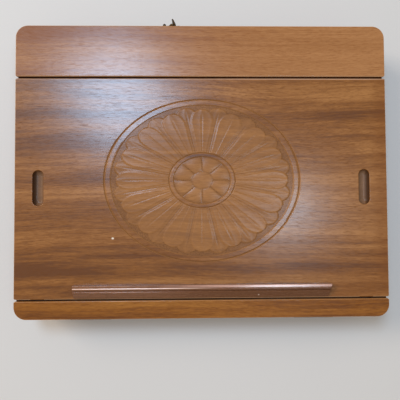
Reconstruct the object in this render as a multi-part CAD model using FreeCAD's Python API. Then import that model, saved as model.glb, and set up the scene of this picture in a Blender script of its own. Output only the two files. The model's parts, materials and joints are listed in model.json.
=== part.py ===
import FreeCAD, Part
import math
import os

V = FreeCAD.Vector

# A flat wooden case whose lid is a sloping stand. It lies on its feet, with +X to the right, +Y away from the
# reader and +Z up. The origin is on the table under the middle of the case. All sizes are in millimetres.

# Case
case_width = 457.0
case_depth = 360.0
corner_radius = 15.0
wall_thickness = 14.0
wall_height = 46.0
bottom_thickness = 6.0
bottom_rise = 5.0
bottom_housing = 6.0
bottom_play = 0.5
lining_thickness = 2.0
lining_margin = 1.0
foot_height = 4.0
foot_radius = 7.0
foot_taper = 1.2
foot_inset = 11.0

# Lid frame
lid_thickness = 20.0
far_rail_width = 63.5
near_rail_width = 22.0
batten_width = 13.0
far_lap = 40.0
near_lap = 16.0
edge_round = 1.0
arris_radius = 2.0

# Sliding panel and its running clearances
panel_thickness = 12.0
panel_float = 0.3
far_gap = 2.4
near_gap = 2.2
tongue_thickness = 5.0
tongue_rise = 2.5
tongue_engagement = 4.5
tongue_clearance = 0.3
groove_bottom_play = 0.5
finger_width = 13.5
finger_length = 43.5
finger_depth = 7.0
finger_cove = 5.5
finger_inset = 28.5

# Ledge along the panel's near edge
ledge_inset = 72.5
ledge_width = 13.5
ledge_height = 9.0
ledge_setback = 1.5
ledge_lip = 2.0
ledge_bead_radius = 2.2
ledge_quirk = 0.8
ledge_quirk_rise = 1.4
ledge_screw_spacing = 130.0

# Butt hinges along the near edge
hinge_inset = 88.5
hinge_length = 50.0
hinge_outset = 1.8
leaf_width = 11.0
leaf_thickness = 1.5
leaf_gap = 0.1
knuckle_radius = 3.0
knuckle_count = 5
knuckle_gap = 0.2
knuckle_relief = 0.4
pin_radius = 1.5
pin_head_radius = 2.2
pin_head_thickness = 0.8
hinge_screw_spacing = 17.0
hinge_screw_inset = 6.0

# Slotted stays that hold the lid up. A stay is as long as its pivot is far from the hinge axis, and its slot
# runs through that axis, so it turns twice as far as the lid.
stay_length = 120.0
stay_width = 8.0
stay_thickness = 2.0
lid_open_angle = 55.0
bracket_thickness = 1.5
bracket_radius = 5.0
bracket_drop = 24.0
bracket_screw_drops = (12.0, 21.0)
stay_gap = 0.3
rivet_radius = 2.0
rivet_head_radius = 3.8
rivet_head_thickness = 1.2
track_thickness = 1.4
track_flange_thickness = 1.2
track_flange_seat = 8.0
track_wall = 4.0
track_drop = 5.0
track_screw_inset = 4.0
slot_clearance = 0.2
stay_pin_head_radius = 3.4
stay_pin_head_thickness = 1.0

# Hook latch on the far edge
latch_x = -37.0
latch_drop = 6.5
latch_plate_length = 26.0
latch_plate_radius = 4.0
latch_plate_thickness = 1.0
latch_screw_spacing = 18.0
latch_screw_rise = 1.0
latch_head_radius = 2.0
latch_head_neck = 1.5
latch_head_slot = 0.8
latch_rivet_radius = 1.5
latch_rivet_depth = 8.0
latch_dome_radius = 2.5
hook_length = 24.0
hook_nose = 5.0
hook_width = 7.0
hook_thickness = 1.5
hook_play = 0.1
hook_tail = 6.5
hook_rest_angle = 35.0
thumb_reach = 10.4
thumb_lean = 4.0
thumb_width = 4.4
thumb_tip = 1.4
catch_radius = 6.0
catch_screw_spacing = 13.0
catch_stud_radius = 1.5
catch_stud_clearance = 0.6
catch_head_radius = 3.25
catch_head_thickness = 1.5
catch_head_play = 0.5

# Countersunk wood screws, as head radius, head depth and shank radius
screw_size = (3.0, 1.5, 1.5)
small_screw_size = (2.0, 0.9, 0.9)
hinge_screw_length = 12.0
batten_screw_length = 18.0
bracket_screw_length = 10.0
track_screw_length = 6.0
ledge_screw_length = 17.0
latch_screw_length = 9.0
running_clearance = 0.05

# Levels and edges that follow from the sizes above
split = foot_height + wall_height
top = split + lid_thickness
half_width = case_width / 2
half_depth = case_depth / 2
inside_x = half_width - wall_thickness
inside_y = half_depth - wall_thickness
bottom_z = foot_height + bottom_rise
panel_base = top - panel_thickness
panel_far = half_depth - far_rail_width - far_gap
panel_near = near_rail_width + near_gap - half_depth
batten_thickness = panel_base - panel_float - split
batten_inner = half_width - batten_width
axis_y = -half_depth - hinge_outset
stay_y = axis_y + stay_length
latch_z = top - latch_drop
catch_z = latch_z - hook_length
hook_y = half_depth + latch_plate_thickness + hook_play

AXIS_X = V(1, 0, 0)
AXIS_Y = V(0, 1, 0)
AXIS_Z = V(0, 0, 1)
FULL_WIDTH = (-half_width, half_width)
FULL_DEPTH = (-half_depth, half_depth)


def block(x, y, z):
    """A box between the limits given on each axis."""
    return Part.makeBox(x[1] - x[0], y[1] - y[0], z[1] - z[0], V(x[0], y[0], z[0]))


def rod(start, end, radius):
    """A round bar from one point to another."""
    along = end - start
    return Part.makeCylinder(radius, along.Length, start, along)


def prism(points, along):
    """A flat polygon drawn out along a vector."""
    return Part.Face(Part.makePolygon(points + points[:1])).extrude(along)


def rounded_slab(x, y, z, radii):
    """A slab with round vertical corners, in the order near left, near right, far right, far left."""
    corners = [V(x[0], y[0], z[0]), V(x[1], y[0], z[0]), V(x[1], y[1], z[0]), V(x[0], y[1], z[0])]
    edges = []
    ends = []
    for i, (corner, radius) in enumerate(zip(corners, radii)):
        back = (corners[i - 1] - corner).normalize() * radius
        ahead = (corners[(i + 1) % 4] - corner).normalize() * radius
        middle = corner + (back + ahead) * (1 - math.sqrt(0.5))
        edges.append(Part.Arc(corner + back, middle, corner + ahead).toShape())
        ends.append((corner + back, corner + ahead))
    for i in range(4):
        edges.append(Part.makeLine(ends[i - 1][1], ends[i][0]))
    outline = Part.Wire(Part.__sortEdges__(edges))
    return Part.Face(outline).extrude(V(0, 0, z[1] - z[0]))


def eased_board(x, y, z, radii):
    """A board with round vertical corners whose upper edges are rounded over."""
    slab = rounded_slab(x, y, z, radii)
    upper = [e for e in slab.Edges if all(abs(v.Z - z[1]) < running_clearance for v in e.Vertexes)]
    return slab.makeFillet(edge_round, upper)


def stadium(start, end, radius, along):
    """A straight bar with round ends about two points, drawn out along a vector."""
    ahead = (end - start).normalize() * radius
    side = along.cross(ahead).normalize() * radius
    edges = [
        Part.makeLine(start + side, end + side),
        Part.Arc(end + side, end + ahead, end - side).toShape(),
        Part.makeLine(end - side, start - side),
        Part.Arc(start - side, start - ahead, start + side).toShape(),
    ]
    return Part.Face(Part.Wire(edges)).extrude(along)


def screw(head, towards, length, size):
    """A countersunk screw, from the middle of its flat head in the direction it is driven."""
    head_radius, head_depth, shank_radius = size
    outline = [
        V(0, 0, 0),
        V(head_radius, 0, 0),
        V(shank_radius, 0, head_depth),
        V(shank_radius, 0, length),
        V(0, 0, length),
    ]
    solid = Part.Face(Part.makePolygon(outline + outline[:1])).revolve(V(), AXIS_Z, 360)
    solid.Placement = FreeCAD.Placement(head, FreeCAD.Rotation(AXIS_Z, towards))
    return solid


def mirrored(shape):
    """The left-hand twin of a right-hand piece."""
    return shape.mirror(V(), AXIS_X)


def case_walls():
    """Four mitred walls, grooved near the bottom for the bottom panel."""
    ring = rounded_slab(FULL_WIDTH, FULL_DEPTH, (foot_height, split), [corner_radius] * 4)
    hollow = block((-inside_x, inside_x), (-inside_y, inside_y), (foot_height, split))
    ring = ring.cut([hollow, bottom_board(bottom_housing)])
    mitre = 2 * wall_thickness
    outer = [
        (-half_width, -half_depth),
        (half_width, -half_depth),
        (half_width, half_depth),
        (-half_width, half_depth),
    ]
    inner = [(math.copysign(half_width - mitre, x), math.copysign(half_depth - mitre, y)) for x, y in outer]
    walls = {}
    for i, name in enumerate(("front_wall", "right_wall", "back_wall", "left_wall")):
        after = (i + 1) % 4
        corners = [outer[i], outer[after], inner[after], inner[i]]
        wedge = prism([V(x, y, foot_height) for x, y in corners], V(0, 0, wall_height))
        walls[name] = ring.common(wedge)
    return walls


def bottom_board(housed):
    """The bottom panel, reaching a given distance into the walls."""
    x = inside_x + housed
    y = inside_y + housed
    return block((-x, x), (-y, y), (bottom_z, bottom_z + bottom_thickness))


def floor_lining():
    """The felt that lies on the bottom panel."""
    x = inside_x - lining_margin
    y = inside_y - lining_margin
    floor = bottom_z + bottom_thickness
    return block((-x, x), (-y, y), (floor, floor + lining_thickness))


def feet():
    """A tapered rubber foot under each mitre."""
    x = half_width - foot_inset
    y = half_depth - foot_inset
    places = {
        "front_left_foot": V(-x, -y, 0),
        "front_right_foot": V(x, -y, 0),
        "back_left_foot": V(-x, y, 0),
        "back_right_foot": V(x, y, 0),
    }
    tip_radius = foot_radius - foot_taper
    return {n: Part.makeCone(tip_radius, foot_radius, foot_height, place) for n, place in places.items()}


def panel_groove(edge, inward):
    """The room that a rail leaves for the panel's tongue, from the rail's inner edge."""
    depth = tongue_engagement + groove_bottom_play
    z = panel_base + tongue_rise
    y = sorted((edge, edge + inward * depth))
    return block(FULL_WIDTH, y, (z - tongue_clearance, z + tongue_thickness + tongue_clearance))


def lid_rails():
    """The fixed boards along the far and near edges of the lid."""
    far_edge = half_depth - far_rail_width
    near_edge = near_rail_width - half_depth
    z = (split, top)
    far = eased_board(FULL_WIDTH, (far_edge, half_depth), z, [arris_radius] * 2 + [corner_radius] * 2)
    near = eased_board(FULL_WIDTH, (-half_depth, near_edge), z, [corner_radius] * 2 + [arris_radius] * 2)
    return far.cut(panel_groove(far_edge, 1)), near.cut(panel_groove(near_edge, -1))


def right_batten():
    """A cross member that joins the rails under the end of the panel, lapped into both."""
    y = (near_rail_width - near_lap - half_depth, half_depth - far_rail_width + far_lap)
    z = (split, split + batten_thickness)
    outline = rounded_slab(FULL_WIDTH, FULL_DEPTH, z, [corner_radius] * 4)
    return block((batten_inner, half_width), y, z).common(outline)


def batten_screws():
    """Screws driven up through the laps: two into the far rail and one into the near rail on each side."""
    x = half_width - batten_width / 2
    far_edge = half_depth - far_rail_width
    near_edge = near_rail_width - half_depth
    rows = (far_edge + far_lap / 4, far_edge + far_lap * 3 / 4, near_edge - near_lap / 2)
    return [screw(V(s * x, y, split), AXIS_Z, batten_screw_length, screw_size) for s in (-1, 1) for y in rows]


def sliding_panel():
    """The board that slides between the rails on its tongues, with a finger slot near each end."""
    board = eased_board(FULL_WIDTH, (panel_near, panel_far), (panel_base, top), [arris_radius] * 4)
    z = (panel_base + tongue_rise, panel_base + tongue_rise + tongue_thickness)
    y = (panel_near - near_gap - tongue_engagement, panel_far + far_gap + tongue_engagement)
    board = board.fuse(block(FULL_WIDTH, y, z)).removeSplitter()
    return board.cut([finger_slot(-1), finger_slot(1)])


def finger_slot(side):
    """A blind slot with round ends and a coved floor, across one end of the panel."""
    x = side * (half_width - finger_inset)
    y = (panel_near + panel_far) / 2
    reach = (finger_length - finger_width) / 2
    floor = top - finger_depth
    slot = stadium(V(x, y - reach, floor), V(x, y + reach, floor), finger_width / 2, V(0, 0, finger_depth))
    lower = [e for e in slot.Edges if all(abs(v.Z - floor) < running_clearance for v in e.Vertexes)]
    return slot.makeFillet(finger_cove, lower)


def ledge_rail():
    """A moulding with a bead along its far edge, a quirk beside it, and a back that falls to a near lip."""
    near = panel_near + ledge_setback
    far = near + ledge_width
    bead_axis = V(0, far - ledge_bead_radius, top + ledge_height - ledge_bead_radius)
    outer = bead_axis + V(0, ledge_bead_radius, 0)
    inner = bead_axis - V(0, ledge_bead_radius, 0)
    ridge = inner + V(0, -ledge_quirk, ledge_quirk_rise)
    lip = V(0, near, top + ledge_lip)
    bow = math.sqrt(0.5)
    back = V(0, ridge.y + (lip.y - ridge.y) * bow, lip.z + (ridge.z - lip.z) * bow)
    edges = [
        Part.makeLine(V(0, near, top), V(0, far, top)),
        Part.makeLine(V(0, far, top), outer),
        Part.Arc(outer, bead_axis + V(0, 0, ledge_bead_radius), inner).toShape(),
        Part.makeLine(inner, ridge),
        Part.Arc(ridge, back, lip).toShape(),
        Part.makeLine(lip, V(0, near, top)),
    ]
    length = case_width - 2 * ledge_inset
    rail = Part.Face(Part.Wire(edges)).extrude(V(length, 0, 0))
    rail.translate(V(-length / 2, 0, 0))
    return rail


def ledge_screws():
    """Screws driven up through the panel into the ledge."""
    y = panel_near + ledge_setback + ledge_width / 2
    places = [V(k * ledge_screw_spacing, y, panel_base) for k in (-1, 0, 1)]
    return [screw(place, AXIS_Z, ledge_screw_length, screw_size) for place in places]


def hinge_barrel(x, first, radius, slack):
    """Every other knuckle of a hinge, lengthened by a slack at both ends."""
    pitch = hinge_length / knuckle_count
    start = x - hinge_length / 2
    knuckles = []
    for i in range(first, knuckle_count, 2):
        left = V(start + i * pitch - slack, axis_y, split)
        right = V(start + (i + 1) * pitch + slack, axis_y, split)
        knuckles.append(rod(left, right, radius))
    return knuckles


def hinge_leaf(x, side):
    """One leaf with its knuckles: side -1 is the case's leaf and side 1 the lid's."""
    first = 0 if side < 0 else 1
    z = sorted((split + side * leaf_gap, split + side * leaf_thickness))
    plate = block((x - hinge_length / 2, x + hinge_length / 2), (axis_y, leaf_width - half_depth), z)
    own = hinge_barrel(x, first, knuckle_radius, -knuckle_gap / 2)
    other = hinge_barrel(x, 1 - first, knuckle_radius + knuckle_relief, knuckle_gap / 2)
    bore = hinge_rod(x, pin_radius + running_clearance, 0)
    return plate.fuse(own).cut(other + [bore])


def hinge_rod(x, radius, slack):
    """A bar along the hinge axis, as long as the hinge and a slack at both ends."""
    reach = hinge_length / 2 + slack
    return rod(V(x - reach, axis_y, split), V(x + reach, axis_y, split), radius)


def hinge_pin(x):
    """The pin, with a riveted head outside each end knuckle."""
    pin = hinge_rod(x, pin_radius, pin_head_thickness)
    heads = hinge_rod(x, pin_head_radius, pin_head_thickness)
    return pin.fuse(heads.cut(hinge_rod(x, pin_head_radius, 0)))


def hinge_recess(x, side):
    """The wood taken out for a leaf and for the knuckles."""
    z = sorted((split, split + side * leaf_thickness))
    y = (axis_y, leaf_width - half_depth)
    mortise = block((x - hinge_length / 2, x + hinge_length / 2), y, z)
    return [mortise, hinge_rod(x, knuckle_radius + knuckle_relief, pin_head_thickness + knuckle_relief)]


def hinge_screws(side):
    """Three screws in each leaf on one side of the hinges."""
    y = hinge_screw_inset - half_depth
    z = split + side * leaf_gap
    screws = []
    for x in HINGES.values():
        for step in (-1, 0, 1):
            head = V(x + step * hinge_screw_spacing, y, z)
            screws.append(screw(head, V(0, 0, side), hinge_screw_length, screw_size))
    return screws


def stay_bracket():
    """The right-hand ear on the side wall that a stay turns on."""
    start = V(inside_x - bracket_thickness, stay_y, split - bracket_drop)
    end = V(inside_x - bracket_thickness, stay_y, split)
    return stadium(start, end, bracket_radius, V(bracket_thickness, 0, 0))


def stay_bracket_screws():
    """Two screws below the pivot of each right-hand and left-hand bracket."""
    x = inside_x - bracket_thickness
    right = [
        screw(V(x, stay_y, split - drop), AXIS_X, bracket_screw_length, screw_size)
        for drop in bracket_screw_drops
    ]
    return right + [mirrored(s) for s in right]


def stay_rivet():
    """The right-hand pivot, flush with the wall and headed inside the stay."""
    face = STAY_INNER - stay_gap
    shank = rod(V(inside_x, stay_y, split), V(face, stay_y, split), rivet_radius)
    head_end = face - rivet_head_thickness
    return shank.fuse(rod(V(face, stay_y, split), V(head_end, stay_y, split), rivet_head_radius))


def stay_arm():
    """The right-hand stay, lying along the lid line when the lid is shut."""
    start = V(STAY_INNER, stay_y, split)
    end = V(STAY_INNER, stay_y + stay_length, split)
    return stadium(start, end, stay_width / 2, V(stay_thickness, 0, 0))


def stay_pin():
    """The pin at the tip of the right-hand stay, headed beyond the slotted track."""
    y = stay_y + stay_length
    shank_end = TRACK_INNER - stay_gap
    shank = rod(V(STAY_OUTER, y, split), V(shank_end, y, split), rivet_radius)
    head_end = shank_end - stay_pin_head_thickness
    return shank.fuse(rod(V(shank_end, y, split), V(head_end, y, split), stay_pin_head_radius))


def stay_track():
    """The right-hand slotted angle under the panel, with its flange let into the batten."""
    slot_radius = rivet_radius + slot_clearance
    shut = axis_y + 2 * stay_length
    raised = axis_y + 2 * stay_length * math.cos(math.radians(lid_open_angle))
    y = (raised - slot_radius - track_wall, shut + slot_radius + track_wall)
    flange_top = split + batten_thickness
    web = block((TRACK_INNER, TRACK_OUTER), y, (split - track_drop, flange_top))
    seat = batten_inner + track_flange_seat
    flange = block((TRACK_INNER, seat), y, (flange_top - track_flange_thickness, flange_top))
    slot_ends = (V(TRACK_INNER, raised, split), V(TRACK_INNER, shut, split))
    slot = stadium(*slot_ends, slot_radius, V(track_thickness, 0, 0))
    return web.fuse(flange).removeSplitter().cut(slot)


def track_screws():
    """Screws that hold the tracks down on the battens."""
    box = stay_track().BoundBox
    x = batten_inner + track_screw_inset
    z = split + batten_thickness
    rows = (box.YMin + 2 * track_screw_inset, (box.YMin + box.YMax) / 2, box.YMax - 2 * track_screw_inset)
    right = [screw(V(x, y, z), -AXIS_Z, track_screw_length, small_screw_size) for y in rows]
    return right + [mirrored(s) for s in right]


def latch_plate():
    """The plate on the lid's far edge that carries the hook."""
    reach = latch_plate_length / 2 - latch_plate_radius
    start = V(latch_x - reach, half_depth, latch_z)
    end = V(latch_x + reach, half_depth, latch_z)
    return stadium(start, end, latch_plate_radius, V(0, latch_plate_thickness, 0))


def latch_plate_screws():
    """Two screws beside the hook's pivot: a round head on the left that stops the hook, and a flush one."""
    y = half_depth + latch_plate_thickness
    z = latch_z + latch_screw_rise
    reach = latch_screw_spacing / 2
    stop = round_head_screw(V(latch_x - reach, y, z))
    flush = screw(V(latch_x + reach, y, z), -AXIS_Y, latch_screw_length, small_screw_size)
    return [stop, flush]


def round_head_screw(place):
    """A small screw driven away from the latch, with a domed head on the plate."""
    radius = latch_head_radius
    neck_end = place + V(0, latch_head_neck, 0)
    dome = Part.makeSphere(radius, neck_end, AXIS_Y, 0, 90, 360)
    crown = neck_end.y + radius
    slot = block(
        (place.x - radius, place.x + radius),
        (crown - latch_head_slot, crown),
        (place.z - latch_head_slot / 2, place.z + latch_head_slot / 2),
    )
    head = rod(place, neck_end, radius).fuse(dome).cut(slot)
    return screw(place, -AXIS_Y, latch_screw_length, small_screw_size).fuse(head).removeSplitter()


def latch_pivot():
    """The domed rivet that the hook swings on."""
    face = hook_y + hook_thickness + hook_play
    inner_end = half_depth - latch_rivet_depth
    shank = rod(V(latch_x, inner_end, latch_z), V(latch_x, face, latch_z), latch_rivet_radius)
    dome = Part.makeSphere(latch_dome_radius, V(latch_x, face, latch_z), AXIS_Y, 0, 90, 360)
    return shank.fuse(dome)


def latch_hook():
    """A notched arm with a tail that curls out as a pointed thumb tab. It rests swung clear of the stud."""
    radius = hook_width / 2
    tail = V(latch_x, hook_y, latch_z + hook_tail - radius)
    nose = V(latch_x, hook_y, latch_z - hook_length - hook_nose + radius)
    bar = stadium(nose, tail, radius, V(0, hook_thickness, 0))
    upper = latch_z + hook_tail
    outer = half_depth + thumb_reach
    left = latch_x - thumb_width / 2
    tab = [
        V(left, hook_y, upper),
        V(left, hook_y + hook_thickness, upper),
        V(left, outer, upper - thumb_lean),
        V(left, outer, upper - thumb_lean - hook_thickness),
        V(left, hook_y + hook_thickness, upper - hook_thickness),
        V(left, hook_y, upper - hook_thickness),
    ]
    throat = catch_stud_radius + catch_stud_clearance
    stud = V(latch_x, hook_y, catch_z)
    notch = stadium(stud, stud + V(hook_width, 0, 0), throat, V(0, hook_thickness, 0))
    pivot = V(latch_x, hook_y, latch_z)
    eye = rod(pivot, pivot + V(0, hook_thickness, 0), latch_rivet_radius + running_clearance)
    blade = prism(tab, V(thumb_width, 0, 0)).common(thumb_taper(upper))
    hook = bar.fuse(blade).cut([notch, eye])
    hook.rotate(pivot, AXIS_Y, hook_rest_angle)
    return hook


def thumb_taper(upper):
    """The outline of the thumb tab from above, narrowing outwards, drawn down through the tab."""
    outer = half_depth + thumb_reach
    plan = [
        V(latch_x - thumb_width / 2, hook_y, upper),
        V(latch_x + thumb_width / 2, hook_y, upper),
        V(latch_x + thumb_tip / 2, outer, upper),
        V(latch_x - thumb_tip / 2, outer, upper),
    ]
    return prism(plan, V(0, 0, -thumb_lean - hook_thickness))


def catch_post():
    """The plate on the back wall, with the headed stud that the hook takes hold of."""
    reach = catch_screw_spacing / 2
    base = V(latch_x, half_depth, catch_z)
    half_height = V(0, 0, reach)
    plate = stadium(base - half_height, base + half_height, catch_radius, V(0, latch_plate_thickness, 0))
    neck_end = hook_y + hook_thickness + catch_head_play - half_depth
    neck = rod(base, base + V(0, neck_end, 0), catch_stud_radius)
    head = rod(base + V(0, neck_end, 0), base + V(0, neck_end + catch_head_thickness, 0), catch_head_radius)
    return plate.fuse([neck, head])


def catch_screws():
    """Two flush screws above and below the stud."""
    y = half_depth + latch_plate_thickness
    places = [V(latch_x, y, catch_z + s * catch_screw_spacing / 2) for s in (-1, 1)]
    return [screw(place, -AXIS_Y, latch_screw_length, small_screw_size) for place in places]


HINGES = {"left": hinge_inset - half_width, "right": half_width - hinge_inset}
STAY_OUTER = inside_x - bracket_thickness - stay_gap
STAY_INNER = STAY_OUTER - stay_thickness
TRACK_OUTER = STAY_INNER - stay_gap
TRACK_INNER = TRACK_OUTER - track_thickness


def build():
    """Every piece by its name, with the seats of its fasteners and fittings cut."""
    pieces = case_walls()
    pieces["bottom_panel"] = bottom_board(bottom_housing - bottom_play)
    pieces["floor_lining"] = floor_lining()
    pieces.update(feet())
    pieces["far_rail"], pieces["near_rail"] = lid_rails()
    pieces["sliding_panel"] = sliding_panel()
    pieces["ledge_rail"] = ledge_rail()
    right_side = {
        "batten": right_batten(),
        "stay_bracket": stay_bracket(),
        "stay_rivet": stay_rivet(),
        "stay_arm": stay_arm(),
        "stay_pin": stay_pin(),
        "stay_track": stay_track(),
    }
    right_side["batten"] = right_side["batten"].cut(right_side["stay_track"])
    right_side["stay_bracket"] = right_side["stay_bracket"].cut(right_side["stay_rivet"])
    eye = rod(V(STAY_INNER, stay_y, split), V(STAY_OUTER, stay_y, split), rivet_radius + running_clearance)
    right_side["stay_arm"] = right_side["stay_arm"].cut([eye, right_side["stay_pin"]])
    for name, shape in right_side.items():
        pieces["right_" + name] = shape
        pieces["left_" + name] = mirrored(shape)
    pieces["latch_plate"] = latch_plate()
    pieces["latch_pivot"] = latch_pivot()
    pieces["latch_hook"] = latch_hook()
    pieces["catch_post"] = catch_post()
    for name, x in HINGES.items():
        pieces[name + "_hinge_case_leaf"] = hinge_leaf(x, -1)
        pieces[name + "_hinge_lid_leaf"] = hinge_leaf(x, 1)
        pieces[name + "_hinge_pin"] = hinge_pin(x)
        pieces["front_wall"] = pieces["front_wall"].cut(hinge_recess(x, -1))
        pieces["near_rail"] = pieces["near_rail"].cut(hinge_recess(x, 1))
    for rail in ("far_rail", "near_rail"):
        pieces[rail] = pieces[rail].cut([pieces["left_batten"], pieces["right_batten"]])
    pieces["latch_plate"] = pieces["latch_plate"].cut(pieces["latch_pivot"])
    pieces["far_rail"] = pieces["far_rail"].cut(pieces["latch_pivot"])

    fasteners = {
        "batten_screws": (batten_screws(), ("left_batten", "right_batten", "far_rail", "near_rail")),
        "ledge_screws": (ledge_screws(), ("sliding_panel", "ledge_rail")),
        "hinge_case_screws": (
            hinge_screws(-1),
            ("left_hinge_case_leaf", "right_hinge_case_leaf", "front_wall"),
        ),
        "hinge_lid_screws": (
            hinge_screws(1),
            ("left_hinge_lid_leaf", "right_hinge_lid_leaf", "near_rail"),
        ),
        "stay_bracket_screws": (
            stay_bracket_screws(),
            ("left_stay_bracket", "right_stay_bracket", "left_wall", "right_wall"),
        ),
        "track_screws": (
            track_screws(),
            ("left_stay_track", "right_stay_track", "left_batten", "right_batten"),
        ),
        "latch_plate_screws": (latch_plate_screws(), ("latch_plate", "far_rail")),
        "catch_screws": (catch_screws(), ("catch_post", "back_wall")),
    }
    for name, (screws, seats) in fasteners.items():
        for seat in seats:
            pieces[seat] = pieces[seat].cut(screws)
        pieces[name] = Part.makeCompound(screws)
    return pieces


os.makedirs("parts", exist_ok=True)
for name, shape in build().items():
    shape.exportStep("parts/" + name + ".step")
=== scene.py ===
import json
import math

import bmesh
import bpy
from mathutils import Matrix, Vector

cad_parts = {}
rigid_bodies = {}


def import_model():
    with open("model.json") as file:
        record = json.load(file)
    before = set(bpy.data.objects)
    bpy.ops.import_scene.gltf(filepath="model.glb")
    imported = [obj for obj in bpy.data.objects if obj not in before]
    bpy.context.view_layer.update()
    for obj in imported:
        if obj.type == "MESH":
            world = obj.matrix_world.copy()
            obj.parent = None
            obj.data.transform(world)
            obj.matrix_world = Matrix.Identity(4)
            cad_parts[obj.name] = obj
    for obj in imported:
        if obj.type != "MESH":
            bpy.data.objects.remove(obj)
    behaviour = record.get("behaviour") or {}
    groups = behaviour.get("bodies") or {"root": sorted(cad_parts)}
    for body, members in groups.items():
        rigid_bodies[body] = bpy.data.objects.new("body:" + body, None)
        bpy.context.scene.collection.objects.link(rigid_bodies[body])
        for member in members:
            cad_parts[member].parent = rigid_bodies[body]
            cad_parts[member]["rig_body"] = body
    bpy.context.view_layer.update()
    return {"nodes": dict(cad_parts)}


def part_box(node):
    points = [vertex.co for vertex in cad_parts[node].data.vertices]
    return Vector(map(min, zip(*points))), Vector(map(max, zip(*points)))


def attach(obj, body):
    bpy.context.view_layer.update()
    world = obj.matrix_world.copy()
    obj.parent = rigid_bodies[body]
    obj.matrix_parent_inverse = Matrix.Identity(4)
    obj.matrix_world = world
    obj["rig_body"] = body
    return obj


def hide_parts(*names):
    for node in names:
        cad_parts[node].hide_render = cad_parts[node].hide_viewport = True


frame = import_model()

scene = bpy.context.scene
nodes = frame["nodes"]
MM = 0.001


# Finishes. Lengths are in metres where nothing else is said.

SEAM_Z = 0.050
SEAM_SHADE = 0.9
PITH_DEPTH = 0.020
RING_RADIANS_PER_METRE = 2200.0
GRAIN_DEPTH = 0.00012


def tone(red, green, blue):
    """A colour as the eye reads it, from 0 to 255, in the renderer's linear light."""
    channels = [c / 255.0 for c in (red, green, blue)]
    linear = [c / 12.92 if c <= 0.04045 else ((c + 0.055) / 1.055) ** 2.4 for c in channels]
    return (*linear, 1.0)


def plug(tree, socket, value):
    """Links a signal to a socket, or sets the socket to a plain value."""
    if isinstance(value, Signal):
        tree.links.new(value.socket, socket)
    else:
        socket.default_value = value


class Signal:
    """An output socket of a finish. Arithmetic on it adds Math nodes."""

    def __init__(self, tree, socket):
        self.tree = tree
        self.socket = socket

    def math(self, operation, *operands):
        node = self.tree.nodes.new("ShaderNodeMath")
        node.operation = operation
        for socket, operand in zip(node.inputs, operands):
            plug(self.tree, socket, operand)
        return Signal(self.tree, node.outputs[0])

    def __add__(self, other):
        return self.math("ADD", self, other)

    def __radd__(self, other):
        return self.math("ADD", other, self)

    def __sub__(self, other):
        return self.math("SUBTRACT", self, other)

    def __rsub__(self, other):
        return self.math("SUBTRACT", other, self)

    def __mul__(self, other):
        return self.math("MULTIPLY", self, other)

    def __rmul__(self, other):
        return self.math("MULTIPLY", other, self)

    def __truediv__(self, other):
        return self.math("DIVIDE", self, other)

    def __pow__(self, other):
        return self.math("POWER", self, other)

    def __abs__(self):
        return self.math("ABSOLUTE", self)

    def sine(self):
        return self.math("SINE", self)

    def root(self):
        return self.math("SQRT", self)

    def upper(self, other):
        return self.math("MAXIMUM", self, other)


class Finish:
    """A material with one Principled shader, whose constant sockets are given by name."""

    def __init__(self, name, **constants):
        self.material = bpy.data.materials.new(name)
        self.material.use_nodes = True
        self.tree = self.material.node_tree
        self.shader = self.tree.nodes["Principled BSDF"]
        for socket, value in constants.items():
            self.shader.inputs[socket.replace("_", " ")].default_value = value

    def node(self, kind, settings=None, sockets=None, out=0):
        """Any node, with its settings set first and then the values or links of its sockets."""
        node = self.tree.nodes.new("ShaderNode" + kind)
        for name, value in (settings or {}).items():
            if name == "stops":
                lay_stops(node.color_ramp, value)
            else:
                setattr(node, name, value)
        for socket, value in (sockets or {}).items():
            plug(self.tree, node.inputs[socket], value)
        return Signal(self.tree, node.outputs[out])

    def place(self):
        """Where a point lies on the object."""
        return self.node("TexCoord", out="Object")

    def stretch(self, place, scale, shift=(0.0, 0.0, 0.0)):
        """A place scaled axis by axis, and then shifted."""
        scaled = self.node("VectorMath", {"operation": "MULTIPLY"}, {0: place, 1: scale})
        return self.node("VectorMath", {"operation": "ADD"}, {0: scaled, 1: shift})

    def noise(self, place, detail=2.0, roughness=0.5):
        sockets = {"Vector": place, "Scale": 1.0, "Detail": detail, "Roughness": roughness}
        return self.node("TexNoise", {"noise_dimensions": "3D"}, sockets)

    def split(self, vector):
        """The three parts of a vector."""
        return [self.node("SeparateXYZ", sockets={0: vector}, out=axis) for axis in range(3)]

    def ease(self, value, low, high):
        """0 below low and 1 above high, with a smooth rise between."""
        ranges = {"Value": value, "From Min": low, "From Max": high}
        return self.node("MapRange", {"interpolation_type": "SMOOTHSTEP"}, ranges)

    def blend(self, first, second, share):
        """The first colour where share is 0 and the second where it is 1."""
        return self.node("Mix", {"data_type": "RGBA"}, {0: share, 6: first, 7: second}, out=2)

    def ramp(self, value, stops):
        return self.node("ValToRGB", {"stops": stops}, {0: value})

    def relief(self, height, distance, strength=1.0):
        return self.node("Bump", sockets={"Height": height, "Distance": distance, "Strength": strength})

    def feed(self, **sockets):
        """Links or sets sockets of the shader, and returns the material."""
        for socket, value in sockets.items():
            plug(self.tree, self.shader.inputs[socket.replace("_", " ")], value)
        return self.material


def lay_stops(ramp, stops):
    """Sets the stops of a colour ramp, from left to right."""
    while len(ramp.elements) < len(stops):
        ramp.elements.new(1.0)
    for element, (position, colour) in zip(ramp.elements, stops):
        element.position = position
        element.color = colour


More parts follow.
